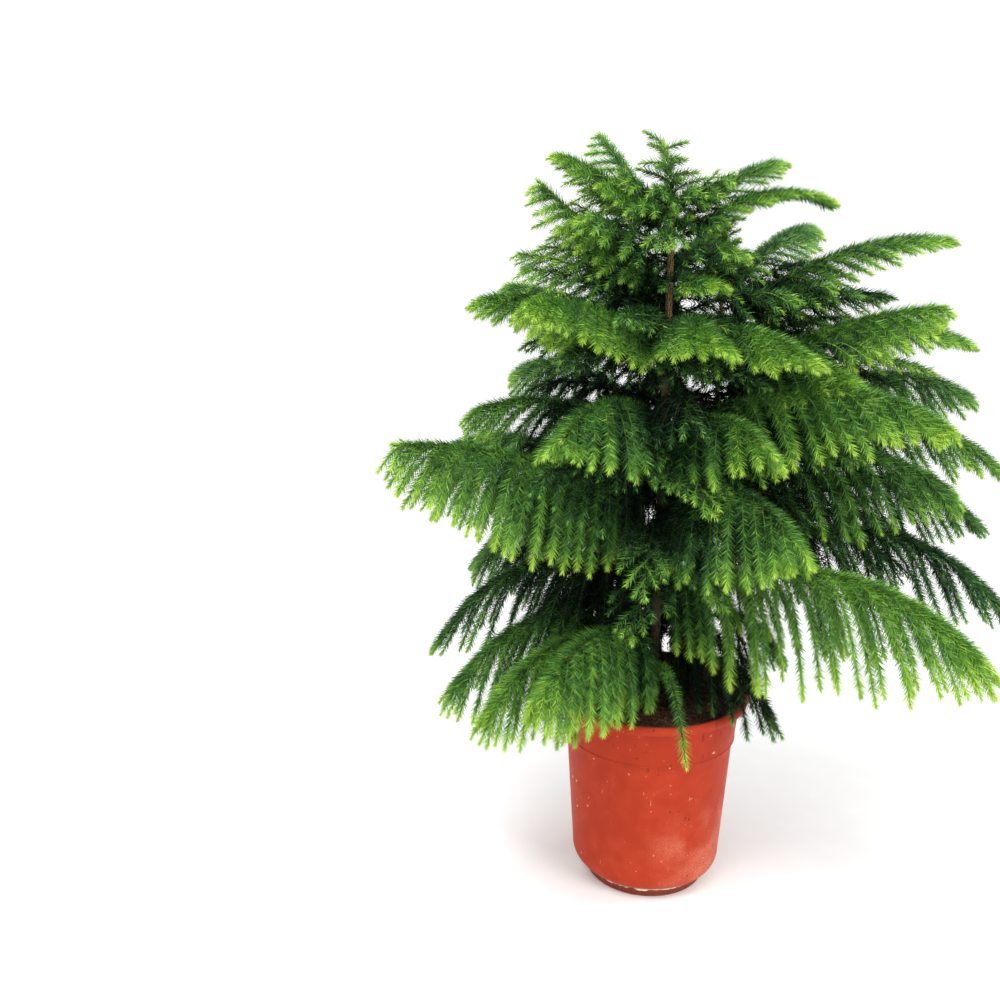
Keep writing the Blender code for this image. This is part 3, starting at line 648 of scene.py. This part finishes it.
def inner_fronds():
    """The weak shoots, and short shaded shoots round the foot of each frond, on either side and below it,
    within its reach. Small fronds, the top ones and the trunk's longest have none, nor has the open front
    over the compost."""
    found = [
        dict(stem=stem, height=height, angle=float(angle), reach=reach, rise=rise, climb=0.5, hang=-34,
             longest=min(WEAK_LONGEST, 0.5 * reach), fresh=0.60, bough=0.0, radius=WEAK_RADIUS)
        for stem, shoots_of_stem in WEAK_SHOOTS
        for height, angle, reach, rise in shoots_of_stem
    ]
    for frond in FRONDS:
        longest_low = frond["stem"] == "trunk" and frond["reach"] > INNER_UP_TO_REACH
        small = frond["longest"] < INNER_FROM_LONGEST
        if small or longest_low or frond["height"] > INNER_UP_TO_HEIGHT:
            continue
        over_pot = frond["height"] < OVER_POT_HEIGHT
        for side in (-1, 1) if over_pot else (-1, 0, 1):
            short = dice.uniform(0.48, 0.68) if side else dice.uniform(0.60, 0.78)
            lift = side * dice.uniform(0.010, 0.020) if side else -dice.uniform(0.022, 0.032)
            angle = frond["angle"] + side * dice.uniform(17, 30) + dice.uniform(-6, 6)
            if over_pot and math.cos(math.radians(angle)) > OPEN_FRONT:
                continue
            found.append({
                **frond, "angle": angle,
                "height": frond["height"] + lift, "reach": frond["reach"] * short,
                "rise": frond["rise"] * short * 0.8, "fresh": frond["fresh"] * 0.4, "bough": 0.0,
                "radius": frond["radius"] * 0.7, "longest": frond["longest"] * dice.uniform(0.62, 0.85)})
    return found


FRONDS = list_fronds()
INNER = inner_fronds()
FOLIAGE = ["foliage_" + frond["name"] for frond in FRONDS]
FOLIAGE += ["foliage_trunk_leader", "foliage_second_stem_leader"]


def green_wood(name, dark, light):
    """Smooth young wood, still green or just turned brown; the twigs in shade are darkened by painted shade.
    """
    made, tree, shader = finish(name, 0.6)
    colour, height = mottled(tree, dark, light, 120.0, 800.0)
    tree.links.new(colour, shader["Base Color"])
    shader["Specular IOR Level"].default_value = 0.15
    bumped(tree, shader, height, 0.4, 0.0004)
    return made


def limb_paths(fronds, start, end, count):
    """The axes of several fronds between two shares of their length, and the tapering radii along them."""
    shares = [np.linspace(start(frond), end(frond), count) for frond in fronds]
    paths = np.stack([axis_point(frond, share) for frond, share in zip(fronds, shares)])
    radii = np.stack([frond["radius"] * (1 - 0.5 * share) for frond, share in zip(fronds, shares)])
    return paths, radii


long_fronds = [frond for frond in FRONDS if frond["bough"]]
paths, radii = limb_paths(long_fronds, lambda frond: -0.01, lambda frond: frond["bough"], 12)
boughs = tubes(paths, radii * BOUGH_EXTRA_WIDTH, 10)
bough_names = ["bough_" + frond["name"] for frond in long_fronds]
bough_bark = green_wood("bough_bark", (0.045, 0.022, 0.012), (0.15, 0.080, 0.036))
piece("boughs", *boughs, bough_bark, True, bough_names, "young_bark")
paths, radii = limb_paths(FRONDS + INNER, lambda frond: frond["bough"] - 0.01, lambda frond: 1.0, 18)
axes_wood = green_wood("frond_wood", (0.024, 0.030, 0.010), (0.075, 0.092, 0.026))
piece("frond_axes", *tubes(paths, radii, 6), axes_wood, True, FOLIAGE, "needles")


# ======================================================================= the twigs
# Twigs leave each axis in pairs, longest a third of the way out, and hang like combs on the lower fronds.
# They are soft and green where they grow, and darker with painted shade deep in the plant. Sprays crowd
# round the growing points.
LAST_PAIR = 0.86
LAST_TWIG = 0.95
TWIG_SPACING = 0.0180
SHORTEST_TWIG = 0.012
TWIG_RADIUS = 0.00085
BARE_TWIG_RADIUS = 0.0010
TWIG_POINTS = 13
KEEP_CLEAR = 0.004
LEADER_SPRAYS = 26
LEADER_TURN = 137.5
NEEDLED_TRUNK = 0.16
# Needles per metre of twig, frond axis, shaded shoot, leader spray, upper trunk and leader shoot.
TWIG_NEEDLES = 3450.0
AXIS_NEEDLES = 3800.0
SHADED_NEEDLES = 2000.0
SPRAY_NEEDLES = 3400.0
TRUNK_NEEDLES = 2600.0
LEADER_NEEDLES = 4200.0


def ribs(root, level, slopes, length, bend):
    """Many twigs at once. Each sets off at its first slope and eases over to its second as 1 - (1 - t)^3,
    while its heading turns by bend x t. The points are the running sum of those directions."""
    t = (np.arange(1, TWIG_POINTS) - 0.5) / (TWIG_POINTS - 1)
    slope = np.radians(slopes[:, :1] + (slopes[:, 1:] - slopes[:, :1]) * (1 - (1 - t) ** 3))
    turn = bend[:, None] * t
    x = level[:, :1] * np.cos(turn) - level[:, 1:2] * np.sin(turn)
    y = level[:, :1] * np.sin(turn) + level[:, 1:2] * np.cos(turn)
    steps = np.stack([x * np.cos(slope), y * np.cos(slope), np.sin(slope)], -1)
    steps *= (length / (TWIG_POINTS - 1))[:, None, None]
    return np.concatenate([root[:, None], root[:, None] + np.cumsum(steps, 1)], 1)


def free_share(points):
    """How much of each twig, from its root, keeps clear of the pot, the compost and both stems."""
    away = np.hypot(points[..., 0], points[..., 1])
    z = points[..., 2]
    near_rim = (away < RIM_RADIUS + KEEP_CLEAR) & (away > COLLAR_RADIUS - 0.010)
    blocked = near_rim & (z < POT_HEIGHT + KEEP_CLEAR)
    blocked |= (away <= COLLAR_RADIUS) & (z < SOIL_TOP + KEEP_CLEAR)
    for stem in STEMS.values():
        from_stem = np.linalg.norm(points[..., :2] - stem_axis(stem, z)[..., :2], axis=-1)
        bark_at = stem_radius(stem, np.clip(z, SOIL_TOP, stem["top"]))
        blocked |= (from_stem < bark_at + KEEP_CLEAR / 2) & (z < stem["top"])
    blocked[:, 0] = False
    first = np.where(blocked.any(1), blocked.argmax(1), TWIG_POINTS)
    return np.clip((first - 1.5) / (TWIG_POINTS - 1), 0, 1)


def frond_twigs(frond, spacing):
    """The twigs of one frond, paired along its axis. They leave it at 62 - 38 x share degrees, so the
    last pairs make a narrow fan. Their length is longest x (0.55 + 1.5 x share, 1 at most) x (1 - 0.48 x
    (share / last)^4), and their slope at the end is hang x (1 - 0.25 x (share / last)^2)."""
    first = frond["bough"] * 0.4 + 0.012 / frond["reach"] + 0.01
    pairs = max(3, round(frond["reach"] * (LAST_TWIG - first) / spacing))
    rank = np.repeat(np.arange(pairs), 2) + 0.45 * np.tile([0, 1], pairs)
    share = first + (LAST_TWIG - first) * rank / (pairs - 0.5) + dice.normal(0, 0.1 / pairs, 2 * pairs)
    share = np.clip(share, first, LAST_TWIG)
    side = np.tile([-1.0, 1.0], pairs)
    along = share / LAST_PAIR
    ahead = unit(axis_point(frond, share + 0.01) - axis_point(frond, share - 0.01))
    turn = np.radians(62 - 38 * share + dice.normal(0, 2.5, len(share))) * side
    flat = unit(ahead * np.array([1, 1, 0]))
    level = np.stack([flat[:, 0] * np.cos(turn) - flat[:, 1] * np.sin(turn),
                      flat[:, 0] * np.sin(turn) + flat[:, 1] * np.cos(turn), np.zeros(len(turn))], -1)
    first_slope = np.degrees(np.arcsin(ahead[:, 2])) * np.cos(turn) + 4 + dice.normal(0, 3, len(turn))
    last_slope = frond["hang"] * (1 - 0.25 * along**2) * dice.uniform(0.90, 1.03, len(turn))
    slopes = np.stack([first_slope, last_slope], -1)
    length = frond["longest"] * np.minimum(1, 0.55 + 1.5 * share) * (1 - 0.48 * along**4)
    length = length * dice.uniform(0.86, 1.05, len(share))
    bend = np.radians(-14 * side + dice.normal(0, 5, len(side)))
    root = axis_point(frond, share)
    length = length * free_share(ribs(root, level, slopes, length, bend))
    keep = length > SHORTEST_TWIG
    paths = ribs(root[keep], level[keep], slopes[keep], length[keep], bend[keep])
    return paths, length[keep], share[keep]


def leader_twigs(stem):
    """The growing point: short sprays on a spiral round an upright shoot and the trunk just under it.
    Share is 0 at the shoot's foot, and a spray is leader x (0.76 - 0.36 x |share|) long."""
    count = LEADER_SPRAYS
    share = np.linspace(-0.50, 0.92, count)
    foot = stem_axis(stem, np.array([stem["top"]]))
    shoot = np.array([stem["lean"], 0, 1.0]) * stem["leader"]
    level = heading(LEADER_TURN * np.arange(count) + 20 + dice.normal(0, 14, count))
    slopes = np.stack([38 + dice.normal(0, 9, count), 8 + dice.normal(0, 14, count)], -1)
    length = stem["leader"] * (0.76 - 0.36 * np.abs(share)) * dice.uniform(0.65, 1.1, count)
    return ribs(foot + shoot * share[:, None], level, slopes, length, np.zeros(count)), length, share


def bearing(paths, length, *values):
    """The paths and lengths of some shoots, and each further value repeated for them where it is single."""
    return paths, length, *(np.broadcast_to(np.array(value, dtype=float), len(length)) for value in values)


def shoots():
    """Everything that bears needles, as arrays: path, length, needles per metre, core radius, freshness,
    painted shade, which falls from 1 at a frond's foot to 0 at a depth that is less high up and on fresh
    fronds."""
    rows = []
    for frond in FRONDS + INNER:
        inner = frond in INNER
        fresh = frond["fresh"]
        spacing = TWIG_SPACING * (1.20 if inner else 1.07 - 0.42 * fresh)
        spacing *= np.clip(0.55 + 4 * frond["longest"], 0.66, 1)
        paths, length, share = frond_twigs(frond, spacing)
        # Painted shade: twigs near the frond's foot are darkened in colour, and the shaded shoots inside
        # more.
        depth = (0.17 - 0.09 * fresh) * np.clip((0.77 - frond["height"]) / 0.22, 0.30, 1)
        shade = np.clip(1 - share * frond["reach"] / depth, 0, 1) + 0.25 * inner
        density = SHADED_NEEDLES if inner else TWIG_NEEDLES + 400 * fresh
        rows.append(bearing(paths, length, density, TWIG_RADIUS, fresh, shade))
        start = max(frond["bough"] * 0.5, 0.06)
        axis = axis_point(frond, np.linspace(start, 1.0, TWIG_POINTS))[None]
        # The painted shade of the frond's own axis, greater on the shaded shoots inside.
        density, shade = (SHADED_NEEDLES, 0.5) if inner else (AXIS_NEEDLES, 0.28)
        rows.append(bearing(axis, [frond["reach"] * (1 - start)], density, frond["radius"], fresh, shade))
    # The leaders' sprays and shoot take no painted shade, and the upper trunk half.
    for stem in STEMS.values():
        paths, length, share = leader_twigs(stem)
        rows.append(bearing(paths, length, SPRAY_NEEDLES, TWIG_RADIUS, 0.35, 0.0))
        up = stem["leader"] * np.linspace(0, 1, TWIG_POINTS)[:, None]
        shoot = stem_axis(stem, np.array([stem["top"]])) + np.array([stem["lean"], 0, 1.0]) * up
        upper = stem_axis(stem, np.linspace(stem["top"] - NEEDLED_TRUNK, stem["top"], TWIG_POINTS))
        core = (stem["tip"] * 1.2, stem["tip"])
        length = [NEEDLED_TRUNK, stem["leader"]]
        density = (TRUNK_NEEDLES, LEADER_NEEDLES)
        rows.append(bearing(np.stack([upper, shoot]), length, density, core, (0.4, 0.8), (0.5, 0.0)))
    return [np.concatenate(column) for column in zip(*rows)]


PATHS, LENGTHS, DENSITY, CORE, FRESH, PAINTED_SHADE = shoots()
TWIG = CORE == TWIG_RADIUS
bends = [0, 1, 3, 5, 8, TWIG_POINTS - 1]
taper = BARE_TWIG_RADIUS * np.linspace(1.0, 0.55, len(bends))
# Twigs where painted shade outweighs freshness get a dark green that paints their shade.
for name, chosen, dark, light in (
    ("twigs_in_painted_shade", FRESH - PAINTED_SHADE < 0.30, (0.014, 0.034, 0.008), (0.045, 0.085, 0.018)),
    ("green_twigs", FRESH - PAINTED_SHADE >= 0.30, (0.120, 0.240, 0.028), (0.270, 0.430, 0.058)),
):
    chosen = chosen & TWIG
    twigs = tubes(PATHS[chosen][:, bends], np.broadcast_to(taper, (chosen.sum(), len(bends))), 3)
    piece(name, *twigs, green_wood(name, dark, light), True, FOLIAGE, "needles")


# ======================================================================= the needles
# Soft awl-shaped needles stand all round every twig in close rings and lean towards its tip, where the
# youngest lie together in a pale bud. They are bright where they grow, and dark with painted shade in the
# heart of the plant.
NEEDLE_LENGTH = 0.0111
NEEDLE_WIDTH = 0.00120
NEEDLES_IN_RING = 6
BUD_LENGTH = 0.012
BRIGHT_END = 0.015
MOST_IN_ONE_PIECE = 190000


def along_paths(values, rope, share):
    """The value at a share of each rope's length, straight between its two nearest points."""
    spot = share * (TWIG_POINTS - 1)
    before = np.minimum(spot.astype(int), TWIG_POINTS - 2)
    part = (spot - before)[:, None]
    return values[rope, before] * (1 - part) + values[rope, before + 1] * part


def needles():
    """For every needle three corners: a pair at its base and its tip. Rings of needles follow each other
    along a twig, each ring turned half a step from the last. They stand off the twig by 49 degrees,
    falling to 22 in the bud, and are shorter in the bud, at the twig's foot and on short twigs. Returns
    the corners and how bright each needle is: more with freshness and near the twig's tip, less with
    painted shade, more with painted light on the side facing up, and a little by chance."""
    rings = np.maximum(3, LENGTHS * DENSITY / NEEDLES_IN_RING).astype(int)
    count = rings * NEEDLES_IN_RING
    rope = np.repeat(np.arange(len(count)), count)
    order = np.arange(len(rope)) - np.repeat(np.cumsum(count) - count, count)
    ring, rank = np.divmod(order, NEEDLES_IN_RING)
    share = np.clip((ring + 0.5 + dice.normal(0, 0.10, len(rope))) / rings[rope], 0, 1)
    from_tip = (1 - share) * LENGTHS[rope]
    from_root = share * LENGTHS[rope]
    place = along_paths(PATHS, rope, share)
    ahead = unit(along_paths(np.gradient(PATHS, axis=1), rope, share))
    steep = np.abs(ahead[:, 2:]) > 0.97
    across = unit(np.cross(ahead, np.where(steep, (1.0, 0.0, 0.0), (0.0, 0.0, 1.0))))
    up = np.cross(across, ahead)
    start = dice.uniform(0, 2 * np.pi, len(count))[rope]
    step = 2 * np.pi / NEEDLES_IN_RING
    angle = (start + step * (rank + 0.5 * (ring % 2)) + share + dice.normal(0, 0.10, len(rope)))[:, None]
    radial = np.cos(angle) * across + np.sin(angle) * up
    youth = np.clip(1 - from_tip / BUD_LENGTH, 0, 1)[:, None]
    spread = np.radians(49 - 27 * youth**1.5 + dice.normal(0, 4, (len(rope), 1)))
    size = NEEDLE_LENGTH * dice.uniform(0.86, 1.12, (len(rope), 1)) * (1 - 0.52 * youth)
    size *= np.clip(0.81 + 2.6 * LENGTHS[rope], 0.86, 1)[:, None]
    size *= 0.6 + 0.4 * np.clip(from_root / 0.006, 0, 1)[:, None]
    way = np.cos(spread) * ahead + np.sin(spread) * radial
    core = (CORE[rope] * (1 - 0.5 * share) * 0.6)[:, None]
    base = place + radial * core
    level = np.cross(ahead, radial)
    twist = dice.normal(0, 0.6, (len(rope), 1))
    wide = (level * np.cos(twist) + np.cross(way, level) * np.sin(twist)) * NEEDLE_WIDTH * 0.5
    corners = np.stack([base + wide, base - wide, base + way * size], 1)
    rope_luck = dice.normal(0, 1, len(count))[rope]
    bright = 0.95 * np.exp(-from_tip / BRIGHT_END) * (0.50 + 0.80 * FRESH[rope]) + 0.52 * FRESH[rope]
    bright += 0.04 + 0.08 * rope_luck + 0.15 * dice.normal(0, 1, len(rope))
    # Painted light: needles whose outer side faces up are made lighter.
    # Painted shade: needles on shoots deep in the crown are made darker.
    bright += 0.10 * radial[:, 2] - 0.58 * PAINTED_SHADE[rope]
    return corners, bright


def needle_finish(name, dark, light, gloss):
    """Green in two shades, patchy from spray to spray and along each needle, and waxier when young."""
    made, tree, shader = finish(name, 0.65 - 0.5 * gloss)
    tree.links.new(mottled(tree, dark, light, 55.0, 520.0)[0], shader["Base Color"])
    shader["Specular IOR Level"].default_value = gloss
    return made


# For each tint: the brightness it starts at, and its darker and lighter green. The deep and dark tints
# mostly hold needles darkened by painted shade.
TINTS = (
    ("deep", -9.0, (0.0020, 0.0070, 0.0030), (0.0060, 0.0190, 0.0070)),
    ("dark", 0.08, (0.012, 0.046, 0.014), (0.034, 0.110, 0.028)),
    ("mid", 0.36, (0.052, 0.160, 0.027), (0.112, 0.285, 0.048)),
    ("fresh", 0.66, (0.130, 0.315, 0.034), (0.240, 0.470, 0.060)),
    ("tip", 1.02, (0.290, 0.480, 0.040), (0.440, 0.660, 0.090)),
)
corners, bright = needles()
limits = [tint[1] for tint in TINTS] + [9.0]
for number, (name, low, dark, light) in enumerate(TINTS):
    chosen = np.flatnonzero((bright >= low) & (bright < limits[number + 1]))
    coat = needle_finish("needles_" + name, dark, light, 0.11 + 0.07 * number)
    parts = max(1, math.ceil(len(chosen) / MOST_IN_ONE_PIECE))
    for part, group in enumerate(np.array_split(chosen, parts), start=1):
        faces = [np.arange(3 * len(group)).reshape(-1, 3)]
        piece(f"needles_{name}_{part}", corners[group].reshape(-1, 3), faces, coat, False, FOLIAGE, "needles")
